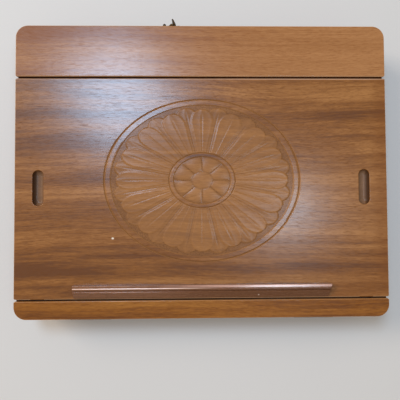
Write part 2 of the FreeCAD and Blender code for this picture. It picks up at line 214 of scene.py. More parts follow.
def figure(finish, place, seed):
    """Five layers of wood grain that runs along X: broad bands, growth lines, fibre, flecks and pores."""
    shift = (seed * 3.1, seed * 7.7, seed * 5.3)
    sway = finish.noise(finish.stretch(place, (3.5, 9.0, 9.0), shift), 1.0)
    across = finish.node("CombineXYZ", sockets={1: (sway - 0.5) * 0.03, 2: (sway - 0.5) * 0.02})
    bent = finish.node("VectorMath", {"operation": "ADD"}, {0: place, 1: across})
    bands = finish.noise(finish.stretch(bent, (1.6, 34.0, 34.0), shift), 3.0, 0.70)
    lines = finish.noise(finish.stretch(bent, (6.0, 300.0, 300.0), shift), 4.0, 0.70)
    fibre = finish.noise(finish.stretch(bent, (60.0, 720.0, 720.0), shift), 2.0, 0.6)
    dashes = finish.noise(finish.stretch(bent, (130.0, 2300.0, 2300.0), shift), 1.0, 0.5)
    pores = finish.ease(dashes, 0.56, 0.65)
    broken = finish.noise(finish.stretch(bent, (85.0, 1050.0, 1050.0), shift), 1.0, 0.5)
    flecks = finish.ease(broken, 0.55, 0.66)
    return bands, lines, fibre, flecks, pores


def wood(name, seed, dark, middle, light, worn, along="X", lean=0.0, gloss=0.24, coat=0.9, wear=0.6, dull=0.45,
         streaks=(), dress=None, **constants):
    """Varnished hardwood with worn edges, growth rings on its cut ends and painted shade along the line where lid and
    case part. It pales along the grain by lean to the metre, and streaks are bands along the grain as place, width
    and strength."""
    settings = {"Coat_IOR": 1.5, "Specular_IOR_Level": 0.08, **constants}
    finish = Finish(name, Coat_Roughness=gloss, **settings)
    place = finish.place()
    turned = finish.node("TexCoord", out="Normal")
    if along == "Y":
        quarter = {"Rotation": (0.0, 0.0, math.pi / 2)}
        place = finish.node("Mapping", sockets={"Vector": place, **quarter})
        turned = finish.node("Mapping", sockets={"Vector": turned, **quarter})
    bands, lines, fibre, flecks, pores = figure(finish, place, seed)
    x, y, z = finish.split(place)
    grain = bands * 0.54 + lines * 0.26 + fibre * 0.20 + x * lean
    for number, (centre, width, strength) in enumerate(streaks):
        patchy = finish.noise(finish.stretch(place, (7.0, 60.0, 60.0), (number * 9.1, seed, 0.0)), 2.0)
        drift = (bands - 0.5) * 0.012
        band = 1.0 - finish.ease(abs(y - centre + drift), width * 0.2, width)
        grain = grain + band * finish.ease(patchy, 0.30, 0.62) * (lines + 0.5) * strength
    colour = finish.ramp(grain, ((0.385, dark), (0.50, middle), (0.615, light)))
    colour = finish.blend(colour, dark, pores * 0.45 + flecks * 0.26)
    end, _, upright = finish.split(turned)
    cut_end = finish.ease(abs(end), 0.75, 0.97)
    pith = (y * y + (z + PITH_DEPTH) * (z + PITH_DEPTH)).root() + (bands - 0.5) * 0.004
    rings = ((pith * RING_RADIANS_PER_METRE).sine() * 0.5 + 0.5) ** 2.0
    colour = finish.blend(colour, dark, cut_end * (0.22 + rings * 0.38 + pores * 0.4))
    rubbed = finish.ease(upright, 0.15, 0.45) * (1.0 - finish.ease(upright, 0.90, 0.99))
    rough = dull + (fibre - 0.5) * 0.2 + pores * 0.2
    height = fibre * 0.5 - pores * 0.8
    varnish = coat * (1.0 - pores * 0.3 - flecks * 0.32 - (fibre - 0.5) * 0.5)
    if dress:
        colour, rough, varnish, height, rubbed = dress(finish, place, colour, rough, varnish, height, rubbed)
    colour = finish.blend(colour, worn, rubbed * wear)
    # Painted shade: a dark line on the upright faces where lid and case part.
    seam_shadow = (1.0 - finish.ease(abs(z - SEAM_Z), 0.00035, 0.0008)) * (1.0 - finish.ease(abs(upright), 0.88, 0.97))
    colour = finish.blend(colour, tone(34, 20, 12), seam_shadow * SEAM_SHADE)
    varnish = varnish * (1.0 - seam_shadow)
    bump = finish.relief(height, GRAIN_DEPTH, 0.5)
    return finish.feed(Base_Color=colour, Roughness=rough, Coat_Weight=varnish, Normal=bump)


def metal(name, dark, light, roughness, grime, worn=0.0):
    """Metal with cloudy tarnish, fine scratches, patches of grime and rubbed edges."""
    finish = Finish(name)
    place = finish.place()
    cloud = finish.noise(finish.stretch(place, (160.0, 160.0, 160.0)), 4.0, 0.6)
    fine = finish.noise(finish.stretch(place, (2600.0, 2600.0, 2600.0)), 2.0, 0.6)
    scratch = finish.noise(finish.stretch(place, (300.0, 5200.0, 900.0)), 1.0)
    colour = finish.ramp(cloud, ((0.34, dark), (0.66, light)))
    edge = finish.node("NewGeometry", out="Pointiness")
    rubbed = finish.ease(edge + (fine - 0.5) * 0.05, 0.515, 0.56) * worn
    colour = finish.blend(colour, tone(172, 132, 82), rubbed)
    dull = finish.ease(cloud + (fine - 0.5) * 0.4, 0.52, 0.72) * grime
    colour = finish.blend(colour, tone(40, 34, 28), dull * 0.6)
    rough = roughness + (cloud - 0.5) * 0.25 + dull * 0.2 + (scratch - 0.5) * 0.12
    bump = finish.relief(scratch * 0.4 + fine * 0.6, 0.00003, 0.4)
    return finish.feed(Base_Color=colour, Metallic=1.0 - dull * 0.35, Roughness=rough, Normal=bump)


def rubber():
    """Moulded rubber, matt and a little dusty."""
    finish = Finish("rubber", Specular_IOR_Level=0.3)
    place = finish.place()
    dust = finish.noise(finish.stretch(place, (420.0, 420.0, 420.0)), 4.0, 0.6)
    grit = finish.noise(finish.stretch(place, (2400.0, 2400.0, 2400.0)), 2.0)
    colour = finish.ramp(dust, ((0.40, tone(34, 32, 31)), (0.62, tone(52, 50, 47)), (0.74, tone(76, 72, 66))))
    bump = finish.relief(grit, 0.00006, 0.4)
    return finish.feed(Base_Color=colour, Roughness=0.72 + (dust - 0.5) * 0.3, Normal=bump)


def plywood():
    """Thin plywood: a pale rotary-cut face, and plies that show as lines on its edges."""
    finish = Finish("plywood", Specular_IOR_Level=0.3)
    place = finish.place()
    _, y, z = finish.split(place)
    swirl = finish.noise(finish.stretch(place, (2.2, 11.0, 4.0)), 2.0)
    ring_lines = ((y * 150.0 + swirl * 26.0).sine() * 0.5 + 0.5) ** 3.0
    fibre = finish.noise(finish.stretch(place, (40.0, 700.0, 700.0)), 2.0, 0.6)
    face = finish.ramp(ring_lines * 0.35 + fibre * 0.65, (
        (0.25, tone(176, 140, 98)), (0.48, tone(198, 164, 120)), (0.72, tone(212, 182, 140))))
    plies = ((z * 4200.0).sine() * 0.5 + 0.5) ** 2.0
    upright = finish.split(finish.node("TexCoord", out="Normal"))[2]
    edge = 1.0 - finish.ease(abs(upright), 0.3, 0.7)
    colour = finish.blend(face, tone(132, 94, 60), edge * plies * 0.7)
    bump = finish.relief(fibre, 0.00010, 0.5)
    return finish.feed(Base_Color=colour, Roughness=0.62 + (fibre - 0.5) * 0.2, Normal=bump)


def felt():
    """Pressed wool felt: matted fibres with a soft sheen and a few pale hairs."""
    finish = Finish("felt", Sheen_Weight=0.5, Sheen_Roughness=0.5, Specular_IOR_Level=0.1)
    place = finish.place()
    swirl = finish.noise(finish.stretch(place, (90.0, 90.0, 90.0)), 3.0)
    bent = finish.node("VectorMath", {"operation": "ADD"}, {0: place, 1: finish.node(
        "CombineXYZ", sockets={0: (swirl - 0.5) * 0.012, 1: (swirl - 0.5) * -0.012})})
    hairs_x = finish.noise(finish.stretch(bent, (300.0, 2600.0, 900.0)), 2.0, 0.6)
    hairs_y = finish.noise(finish.stretch(bent, (2600.0, 300.0, 900.0)), 2.0, 0.6)
    mat = hairs_x.upper(hairs_y)
    pile = finish.noise(finish.stretch(place, (26.0, 26.0, 26.0)), 3.0, 0.6)
    colour = finish.ramp(mat * 0.75 + pile * 0.25, (
        (0.40, tone(24, 46, 34)), (0.56, tone(40, 68, 50)), (0.72, tone(66, 96, 74))))
    bump = finish.relief(mat, 0.0005, 0.7)
    return finish.feed(Base_Color=colour, Roughness=0.92 - (mat - 0.5) * 0.1, Normal=bump)


# Meshes

ON_PLANE = 1e-6
WELD = 1e-6


def piece(name, mesh, body, finish, smooth_below=35.0):
    """An object that moves with a body, shaded smooth up to an angle between faces."""
    data = bpy.data.meshes.new(name)
    mesh.normal_update()
    mesh.to_mesh(data)
    mesh.free()
    for face in data.polygons:
        face.use_smooth = True
    data.set_sharp_from_angle(angle=math.radians(smooth_below))
    data.materials.append(finish)
    made = bpy.data.objects.new(name, data)
    scene.collection.objects.link(made)
    even = made.modifiers.new("even_shading", "WEIGHTED_NORMAL")
    even.keep_sharp = True
    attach(made, body)
    return made


def loop(mesh, points):
    """A closed loop of new vertices."""
    return [mesh.verts.new(p) for p in points]


def skin(mesh, first, second):
    """Quads between two loops of as many vertices."""
    count = len(first)
    return [
        mesh.faces.new((first[i], first[(i + 1) % count], second[(i + 1) % count], second[i]))
        for i in range(count)
    ]


def rim(mesh, ring):
    """The edges round a loop."""
    edges = []
    for a, b in zip(ring, ring[1:] + ring[:1]):
        edge = mesh.edges.get((a, b)) or mesh.edges.new((a, b))
        edges.append(edge)
    return edges


def rounded_outline(x, y, radius, z, steps=4):
    """A rectangle with round corners, counter-clockwise from above."""
    points = []
    corners = ((x[1], y[1], 0), (x[0], y[1], 90), (x[0], y[0], 180), (x[1], y[0], 270))
    for corner_x, corner_y, start in corners:
        side_x = 1 if corner_x == x[1] else -1
        side_y = 1 if corner_y == y[1] else -1
        centre = (corner_x - side_x * radius, corner_y - side_y * radius)
        for step in range(steps + 1):
            angle = math.radians(start + 90.0 * step / steps)
            points.append((centre[0] + radius * math.cos(angle), centre[1] + radius * math.sin(angle), z))
    return points


def slot_outline(centre, reach, radius, z, steps=12):
    """A slot with round ends, its length along Y, counter-clockwise from above."""
    points = []
    for side in (1, -1):
        for step in range(steps + 1):
            angle = math.radians((0 if side > 0 else 180) + 180.0 * step / steps)
            x = centre[0] + radius * math.cos(angle)
            points.append((x, centre[1] + side * reach + radius * math.sin(angle), z))
    return points


# Carved oval on the panel, in shares of its radius and of a whole turn

OVAL_CENTRE = (0.0, -0.012)
OVAL_HALF = (0.122, 0.101)
PETALS = 16
OVAL_SPOKES = 36 * PETALS
BAND = (0.985, 0.915)
TIPS = (0.865, 0.895)
COLLAR = (0.335, 0.285)
BUTTON = 0.11
GROOVE = 0.0105
GROOVE_DEPTH = 0.85
GROUND_DEPTH = 0.85


def dome(offset):
    """A round hump over offsets from -1 to 1."""
    return math.sqrt(max(0.0, 1.0 - offset * offset))


def groove(offset, half_width, depth):
    """Depth of a cut with sloping sides."""
    return depth * max(0.0, 1.0 - abs(offset) / half_width)


def carving(radius, turn):
    """Depth of the carving in millimetres."""
    cut = max(groove(radius - line, GROOVE, GROOVE_DEPTH) for line in BAND + COLLAR)
    if radius > BAND[1]:
        return cut
    if radius > COLLAR[0]:
        return max(cut, petal_depth(radius, turn))
    if radius > COLLAR[1]:
        return cut
    if radius > BUTTON:
        share = (radius - BUTTON) / (COLLAR[1] - BUTTON)
        offset = (turn * PETALS / 2) % 1.0 * 2.0 - 1.0
        lobe = dome(offset) * math.sin(math.pi * (0.2 + 0.7 * share))
        return max(cut, 0.85 - 0.75 * lobe)
    return 0.80 - 0.7 * dome(radius / BUTTON)


def petal_depth(radius, turn):
    """Hollowed petals with a cut midrib, and the tips of a second row between them, on a sunk ground."""
    depth = GROUND_DEPTH
    for start, lift, tip in ((0.5, 0.06, TIPS[0]), (0.0, 0.34, TIPS[1])):
        if radius > tip:
            continue
        share = (radius - COLLAR[0]) / (tip - COLLAR[0])
        offset = abs(((turn * PETALS + start) % 1.0) * 2.0 - 1.0)
        half = 0.94 * (0.72 + 0.28 * share) * dome(max(0.0, (share - 0.6) / 0.4))
        if half < 0.03 or offset > half:
            continue
        across = offset / half
        hollow = 0.20 * math.sin(math.pi * across) * (0.4 + 0.6 * share)
        edge = groove(across - 1.0, 0.12, 0.5)
        rib = groove(offset, 0.10, 0.30) * min(1.0, (1.0 - share) * 4.0)
        depth = min(depth, lift + max(hollow, edge, rib))
    return depth


def oval_rings():
    """Shares of the radius at which the oval has a ring, closer where the carving turns."""
    marks = {1.0, BAND[1] + 2 * GROOVE, TIPS[1] + 0.003, 0.62, COLLAR[0] + 2 * GROOVE, BUTTON + 0.01}
    for line in BAND + COLLAR:
        marks |= {line + GROOVE * step / 3 for step in range(-3, 4)}
    rings = set(marks)
    steps = 150
    for step in range(2, steps):
        share = step / steps
        if all(abs(share - mark) > 0.004 for mark in marks):
            rings.add(share)
    return sorted(rings, reverse=True)


def oval_point(radius, spoke, z):
    """A point of the oval at a share of its radius."""
    angle = 2 * math.pi * spoke / OVAL_SPOKES
    x = OVAL_CENTRE[0] + OVAL_HALF[0] * radius * math.cos(angle)
    return (x, OVAL_CENTRE[1] + OVAL_HALF[1] * radius * math.sin(angle), z)


# Sliding panel

LID_TOP = 0.070
PANEL_FAR_Y = 0.1142
PANEL_CORNER = 0.0020
PANEL_EDGE = 0.0010
PANEL_UNDER_EDGE = 0.0004
TONGUE = (0.0605, 0.0655)
TONGUE_ROOT = 0.1350
TONGUE_HALF_LENGTH = 0.2275
FAR_TONGUE_REACH = 0.0069
NEAR_TONGUE_REACH = 0.0067
SLOT_INSET = 0.0285
SLOT_RADIUS = 0.00675
SLOT_REACH = 0.015
SLOT_DEPTH = 0.007
SLOT_COVE = 0.0055
SLOT_RIM = 0.0006
SLOT_X = 0.200
SLOT_Y = -0.02085
CHIPS = ((-0.1092, -0.0826, 0.0021),)
CHIPPED = tone(236, 214, 190)
CARVED = tone(170, 120, 78)
STIPPLE_AND_SHADE = tone(88, 52, 28)
SLOT_FLOOR = tone(128, 94, 70)
SLOT_WALL_DARK = tone(58, 34, 20)
TONGUE_GAP_SHADE = tone(48, 26, 14)
ARRIS_WEAR_AND_HIGHLIGHT = tone(214, 172, 144)
HAND_DARKENING_AND_SHADE = tone(116, 62, 18)
PANEL_STREAKS = (
    (0.1085, 0.004, -0.04), (0.068, 0.008, -0.05), (0.039, 0.008, -0.05), (0.0176, 0.004, -0.07),
    (-0.105, 0.004, -0.06), (-0.121, 0.014, -0.10), (-0.138, 0.006, -0.05), (-0.010, 0.025, 0.04),
    (-0.070, 0.020, 0.04), (0.055, 0.006, 0.04), (0.095, 0.016, 0.06), (0.022, 0.006, 0.04),
    (-0.1455, 0.014, -0.09), (-0.098, 0.008, 0.035),
)


def sliding_panel(finish):
    """The board with its tongues, finger slots and carved oval, as one closed skin."""
    low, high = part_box("sliding_panel")
    x = (low.x, high.x)
    y = (low.y + NEAR_TONGUE_REACH, high.y - FAR_TONGUE_REACH)
    top = high.z
    mesh = bmesh.new()

    def ring(z, inset=0.0):
        wide = (x[0] + inset, x[1] - inset)
        deep = (y[0] + inset, y[1] - inset)
        return loop(mesh, rounded_outline(wide, deep, PANEL_CORNER - inset, z))

    rings = [ring(low.z + PANEL_UNDER_EDGE), ring(TONGUE[0]), ring(TONGUE[1]), ring(top - PANEL_EDGE)]
    base = ring(low.z, PANEL_UNDER_EDGE)
    mesh.faces.new(list(reversed(base)))
    rings.insert(0, base)
    for step in range(1, 6):
        angle = math.radians(90.0 * step / 5)
        rings.append(ring(top - PANEL_EDGE * (1 - math.sin(angle)), PANEL_EDGE * (1 - math.cos(angle))))
    for lower, upper in zip(rings, rings[1:]):
        skin(mesh, lower, upper)
    tongues(mesh, y)
    holes = rim(mesh, rings[-1])
    for side in (-1, 1):
        holes += rim(mesh, finger_slot(mesh, side * (x[1] - SLOT_INSET), sum(y) / 2, top))
    holes += rim(mesh, oval(mesh, top))
    bmesh.ops.triangle_fill(mesh, use_beauty=True, use_dissolve=False, edges=holes, normal=(0, 0, 1))
    bmesh.ops.recalc_face_normals(mesh, faces=mesh.faces)
    made = piece("carved_panel", mesh, "panel", finish)
    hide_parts("sliding_panel")


def tongues(mesh, y):
    """Draws a tongue out of each long edge of the board."""
    for edge, reach in ((y[0], -NEAR_TONGUE_REACH), (y[1], FAR_TONGUE_REACH)):
        sides = [
            f for f in mesh.faces
            if all(abs(v.co.y - edge) < ON_PLANE for v in f.verts)
            and abs(f.calc_center_median().z - sum(TONGUE) / 2) < 1e-4
        ]
        grown = bmesh.ops.extrude_face_region(mesh, geom=sides)
        moved = [v for v in grown["geom"] if isinstance(v, bmesh.types.BMVert)]
        bmesh.ops.translate(mesh, verts=moved, vec=(0.0, reach, 0.0))
        bmesh.ops.delete(mesh, geom=sides, context="FACES_ONLY")


def finger_slot(mesh, x, y, top):
    """A blind slot with a coved floor. Returns the loop of its mouth."""
    def ring(depth, inset):
        return loop(mesh, slot_outline((x, y), SLOT_REACH, SLOT_RADIUS - inset, top - depth))

    rings = []
    for step in range(4):
        angle = math.radians(30.0 * step)
        rings.append(ring(SLOT_RIM * (1 - math.cos(angle)), -SLOT_RIM * (1 - math.sin(angle))))
    for step in range(7):
        angle = math.radians(15.0 * step)
        rings.append(ring(SLOT_DEPTH - SLOT_COVE * (1 - math.sin(angle)), SLOT_COVE * (1 - math.cos(angle))))
    for upper, lower in zip(rings, rings[1:]):
        skin(mesh, upper, lower)
    mesh.faces.new(rings[-1])
    return rings[0]


def oval(mesh, top):
    """The carved field. Returns the loop of its edge."""
    rings = []
    for radius in oval_rings():
        points = []
        for spoke in range(OVAL_SPOKES):
            depth = carving(radius, spoke / OVAL_SPOKES) if radius < 1.0 else 0.0
            points.append(oval_point(radius, spoke, top - depth * MM))
        rings.append(loop(mesh, points))
    for outer, inner in zip(rings, rings[1:]):
        skin(mesh, outer, inner)
    mesh.faces.new(rings[-1])
    return rings[0]


def dress_panel(finish, place, colour, rough, varnish, height, rubbed):
    """Duller wood with a stippled ground in the carved oval and painted shade in its deeper cuts, painted shade on
    the tongues where they show in the gaps, darker outer walls and a greyer floor in the slots, a far arris paled by
    wear and by a painted highlight, a right edge darkened by hands and painted shade on the near corner, and a chip."""
    x, y, z = finish.split(place)
    across = (x - OVAL_CENTRE[0]) / OVAL_HALF[0]
    along = (y - OVAL_CENTRE[1]) / OVAL_HALF[1]
    depth = LID_TOP - z
    shallow = 1.0 - finish.ease(depth, 0.0015, 0.0020)
    inside = shallow * (1.0 - finish.ease((across * across + along * along).root(), 0.998, 1.004))
    cut = inside * finish.ease(depth, 0.00001, 0.00008)
    colour = finish.blend(colour, CARVED, cut * 0.40)
    # Painted shade: the deeper cuts of the carving are darkened, mixed with a stippled ground that also gets a bump.
    crease = inside * finish.ease(depth, 0.00030, 0.00075)
    stipple = finish.noise(finish.stretch(place, (850.0, 850.0, 850.0)), 1.0)
    colour = finish.blend(colour, STIPPLE_AND_SHADE, crease * (0.30 + finish.ease(stipple, 0.5, 0.65) * 0.35))
    height = height + crease * stipple * 3.0
    at_slot = 1.0 - finish.ease(abs(abs(x) - SLOT_X), SLOT_RADIUS + 0.001, SLOT_RADIUS + 0.002)
    sunk = at_slot * finish.ease(depth, 0.0010, 0.0045) * (1.0 - finish.ease(depth, 0.0080, 0.0085))
    colour = finish.blend(colour, SLOT_FLOOR, sunk * 0.75)
    # Darker on the outer walls of the finger slots.
    outer_wall_dark = at_slot * finish.ease(depth, 0.0006, 0.0015) * finish.ease(abs(x) - SLOT_X, 0.0018, 0.0048)
    colour = finish.blend(colour, SLOT_WALL_DARK, outer_wall_dark * 0.8)
    inboard = 1.0 - finish.ease(abs(x), TONGUE_HALF_LENGTH - 0.0005, TONGUE_HALF_LENGTH + 0.0005)
    tongue = finish.ease(abs(y - SLOT_Y), TONGUE_ROOT - 0.0002, TONGUE_ROOT + 0.0002) * inboard
    # Painted shade: the tongues are darkened below the surface, where they show at the bottom of the gaps.
    gap_shade = tongue * finish.ease(depth, 0.0030, 0.0040)
    colour = finish.blend(colour, TONGUE_GAP_SHADE, gap_shade * 0.85)
    shaded = finish.ease(y, PANEL_FAR_Y - 0.0009, PANEL_FAR_Y - 0.0004)
    # Painted highlight, partly wear: the far arris is paled, more strongly towards the right.
    lit_worn_arris = shallow * finish.ease(y, PANEL_FAR_Y - 0.0020, PANEL_FAR_Y - 0.0012) * (1.0 - shaded)
    colour = finish.blend(colour, ARRIS_WEAR_AND_HIGHLIGHT, lit_worn_arris * (0.25 + finish.ease(x, -0.05, 0.10) * 0.30))
    # The right edge is darkened by handling, and the near-right corner gets painted shade.
    corner = finish.ease(x, 0.09, 0.18) * (1.0 - finish.ease(y, -0.150, -0.105))
    handling_and_shade = shallow * finish.ease(x, 0.2050, 0.2240).upper(corner * 0.8)
    colour = finish.blend(colour, HAND_DARKENING_AND_SHADE, handling_and_shade * 0.34)
    for mark_x, mark_y, size in CHIPS:
        ragged = (stipple - 0.5) * size
        away = ((x - mark_x) * (x - mark_x) + (y - mark_y) * (y - mark_y) * 2.0).root() + ragged
        chip = shallow * (1.0 - finish.ease(away, size * 0.55, size))
        colour = finish.blend(colour, CHIPPED, chip * 0.95)
        height = height - chip * 1.5
    varnish = varnish * (1.0 - cut * 0.70) * (1.0 - sunk * 0.7) * (1.0 - gap_shade * 0.8) * (1.0 - handling_and_shade * 0.2)
    rubbed = rubbed * (1.0 - inside) * (1.0 - at_slot) * (1.0 - shaded)
    return colour, rough + cut * 0.12, varnish, height, rubbed


# Ledge. Its section, its eased ends and its slant are in millimetres.

LEDGE_DEPTH = 16.0
LEDGE_EASE = 0.35
LEDGE_SLANT = 3.5
LEDGE_CREST_Y = -0.1422
LEDGE_COVE_Y = -0.1415
LEDGE_CHIP = (0.0673, -0.1512, 0.0010)


def arc(centre, radius, start, end, steps):
    """Points on a circle from one angle to another."""
    angles = [math.radians(start + (end - start) * step / steps) for step in range(steps + 1)]
    return [(centre[0] + radius * math.cos(a), centre[1] + radius * math.sin(a)) for a in angles]


def ledge_outline():
    """The moulding's section from its near foot, as depth and height in millimetres: a sloping back, a small bead
    and quirk, a round crest, and a cove out to the far arris."""
    back = [(0.0, 0.0)] + arc((0.8, 1.4), 0.8, 180.0, 127.0, 4)
    bead = arc((7.45, 6.55), 0.75, 127.0, -20.0, 8) + [(8.6, 6.1)]
    crest = arc((11.4, 7.0), 2.0, 190.0, 73.0, 14)
    cove = arc((13.74, 14.65), 6.0, 253.0, 263.0, 5)[1:]
    lit_worn_arris = arc((15.2, 7.62), LEDGE_DEPTH - 15.2, 83.0, 0.0, 6) + [(LEDGE_DEPTH, 0.0)]
    return back + bead + crest + cove + lit_worn_arris


def ledge(finish):
    """The moulding at the foot of the board, run along X with eased ends, the right one cut at a slant."""
    low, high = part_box("ledge_rail")
    outline = ledge_outline()
    mesh = bmesh.new()
    rings = []
    ends = ((low.x, LEDGE_EASE, 0.0), (low.x + LEDGE_EASE * MM, 0.0, 0.0),
            (high.x - LEDGE_EASE * MM, 0.0, LEDGE_SLANT), (high.x, LEDGE_EASE, LEDGE_SLANT))
    for x, inset, slant in ends:
        points = []
        for depth, height in outline:
            eased = min(max(depth, inset), LEDGE_DEPTH - inset)
            cut_back = slant * (1.0 - eased / LEDGE_DEPTH)
            points.append((x - cut_back * MM, low.y + eased * MM, low.z + max(height - inset, 0.0) * MM))
        rings.append(loop(mesh, points))
    for first, second in zip(rings, rings[1:]):
        skin(mesh, first, second)
    mesh.faces.new(rings[0])
    mesh.faces.new(list(reversed(rings[-1])))
    bmesh.ops.recalc_face_normals(mesh, faces=mesh.faces)
    made = piece("ledge_moulding", mesh, "panel", finish)
    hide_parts("ledge_rail")


def dress_ledge(finish, place, colour, rough, varnish, height, rubbed):
    """A smoother varnish with its pores filled, painted highlights along the crest to the left and the cove to
    the right, painted shade on a duller back towards the right, and a pale chip in it."""
    x, y, z = finish.split(place)
    patchy = finish.noise(finish.stretch(place, (14.0, 240.0, 240.0)), 2.0) + 0.5
    # Painted highlights: a pale line along the crest on the left half and a pale band in the cove on the right half.
    crest = 1.0 - finish.ease(abs(y - LEDGE_CREST_Y), 0.0003, 0.0009)
    colour = finish.blend(colour, tone(226, 184, 156), crest * (1.0 - finish.ease(x, -0.05, 0.03)) * patchy * 0.72)
    cove = finish.ease(y, LEDGE_COVE_Y, LEDGE_COVE_Y + 0.0006) * finish.ease(z, 0.0776, 0.0781)
    colour = finish.blend(colour, tone(220, 168, 148), cove * finish.ease(x, -0.07, 0.03) * patchy * 0.62)
    # Painted shade: the back of the moulding, facing away from the light, is darkened towards the right.
    back = (1.0 - finish.ease(y, LEDGE_CREST_Y - 0.0040, LEDGE_CREST_Y - 0.0030)) * finish.ease(x, -0.08, 0.04)
    colour = finish.blend(colour, tone(82, 46, 8), back * 0.65)
    varnish = varnish * 0.4 + 0.5 - back * 0.60
    chip_x, chip_y, size = LEDGE_CHIP
    away = ((x - chip_x) * (x - chip_x) + (y - chip_y) * (y - chip_y)).root()
    chip = 1.0 - finish.ease(away, size * 0.5, size)
    colour = finish.blend(colour, tone(226, 206, 184), chip * 0.9)
    return colour, rough, varnish, height * 0.15, rubbed


# Screws, lining and softened edges

METAL_ARRIS = 0.00020
WOOD_ARRIS = 0.00045
LINING_CELL = 0.006
LINING_ROUND = 0.0007
LINING_UNEVEN = 0.00012


def islands(mesh):
    """The separate pieces of a mesh, each as a list of vertices."""
    left = set(mesh.verts)
    found = []
    for start in list(mesh.verts):
        if start not in left:
            continue
        left.discard(start)
        group = [start]
        for vertex in group:
            for edge in vertex.link_edges:
                other = edge.other_vert(vertex)
                if other in left:
                    left.discard(other)
                    group.append(other)
        found.append(group)
    return found


def cross_outline(arm, half):
    """Twelve corners of a cross, counter-clockwise."""
    quarter = ((arm, -half), (arm, half), (half, half))
    points = []
    for turn in range(4):
        for x, y in quarter:
            for _ in range(turn):
                x, y = -y, x
            points.append((x, y))
    return points


def cross_recess(mesh, group):
    """Opens the flat head of one screw and sinks a tapered cross in it. A domed head is left as it is."""
    low = [min(v.co[i] for v in group) for i in range(3)]
    high = [max(v.co[i] for v in group) for i in range(3)]
    axis = max(range(3), key=lambda i: high[i] - low[i])
    first, second = [i for i in range(3) if i != axis]
    middle = [(a + b) / 2 for a, b in zip(low, high)]

    def end_radius(level):
        ends = [v.co for v in group if abs(v.co[axis] - level) < ON_PLANE]
        return max(math.hypot(c[first] - middle[first], c[second] - middle[second]) for c in ends)

    level, inward = low[axis], 1.0
    if end_radius(high[axis]) > end_radius(level):
        level, inward = high[axis], -1.0
    radius = end_radius(level)
    if high[first] - low[first] > 2.01 * radius:
        return
    disk = {f for v in group for f in v.link_faces if all(abs(u.co[axis] - level) < ON_PLANE for u in f.verts)}
    edge = {e for f in disk for e in f.edges if any(g not in disk for g in e.link_faces)}
    bmesh.ops.delete(mesh, geom=list(disk), context="FACES_KEEP_BOUNDARY")

    def ring(depth, arm, half):
        points = []
        for x, y in cross_outline(arm * radius, half * radius):
            place = [0.0, 0.0, 0.0]
            place[axis] = level + inward * depth * radius
            place[first] = middle[first] + (x + y) * math.sqrt(0.5)
            place[second] = middle[second] + (y - x) * math.sqrt(0.5)
            points.append(place)
        return loop(mesh, points)

    rings = [ring(0.0, 0.62, 0.15), ring(0.10, 0.58, 0.12), ring(0.62, 0.30, 0.09)]
    for upper, lower in zip(rings, rings[1:]):
        skin(mesh, upper, lower)
    mesh.faces.new(rings[-1])
    up = [0.0, 0.0, 0.0]
    up[axis] = -inward
    around = [e for e in edge if e.is_valid] + rim(mesh, rings[0])
    bmesh.ops.triangle_fill(mesh, use_beauty=True, use_dissolve=False, edges=around, normal=up)


def driven_screws(name, finish):
    """The screws of a CAD node, with a cross recess in each head."""
    mesh = bmesh.new()
    mesh.from_mesh(nodes[name].data)
    bmesh.ops.remove_doubles(mesh, verts=mesh.verts, dist=WELD)
    for group in islands(mesh):
        cross_recess(mesh, group)
    bmesh.ops.recalc_face_normals(mesh, faces=mesh.faces)
    made = piece("cross_" + name, mesh, nodes[name]["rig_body"], finish, smooth_below=30.0)
    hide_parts(name)


def lining(finish):
    """Felt laid on the floor, with soft edges and a slight unevenness."""
    low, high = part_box("floor_lining")
    count_x = round((high.x - low.x) / LINING_CELL)
    count_y = round((high.y - low.y) / LINING_CELL)
    mesh = bmesh.new()

    def height(x, y):
        near = min(x - low.x, high.x - x, y - low.y, high.y - y)
        drop = LINING_ROUND * (1.0 - dome(1.0 - min(1.0, near / (LINING_CELL * 0.9))))
        uneven = math.sin(31.0 * x + 1.3) * math.sin(23.0 * y + 0.4) + math.sin(83.0 * x - 57.0 * y) * 0.5
        return high.z - LINING_UNEVEN * (1.5 + uneven) - drop

    rows = []
    for j in range(count_y + 1):
        y = low.y + (high.y - low.y) * j / count_y
        spread = [low.x + (high.x - low.x) * i / count_x for i in range(count_x + 1)]
        rows.append(loop(mesh, [(x, y, height(x, y)) for x in spread]))
    for lower, upper in zip(rows, rows[1:]):
        for i in range(count_x):
            mesh.faces.new((lower[i], lower[i + 1], upper[i + 1], upper[i]))
    border = rows[0][:-1] + [r[-1] for r in rows[:-1]] + rows[-1][:0:-1] + [r[0] for r in rows[:0:-1]]
    base = loop(mesh, [(v.co.x, v.co.y, low.z) for v in border])
    skin(mesh, base, border)
    mesh.faces.new(list(reversed(base)))
    made = piece("felt_lining", mesh, "case", finish, smooth_below=60.0)
    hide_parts("floor_lining")


def soften(width, *names):
    """A fine bevel on the sharp edges of pieces."""
    for name in names:
        made = nodes[name]
        weld = made.modifiers.new("weld", "WELD")
        weld.merge_threshold = WELD
        bevel = made.modifiers.new("lit_worn_arris", "BEVEL")
        bevel.width = width
        bevel.segments = 2
        bevel.limit_method = "ANGLE"
        bevel.angle_limit = math.radians(40.0)
        even = made.modifiers.new("even_shading", "WEIGHTED_NORMAL")
        even.keep_sharp = True


# Studio. A lamp is a name, place, aim, size, power and colour.

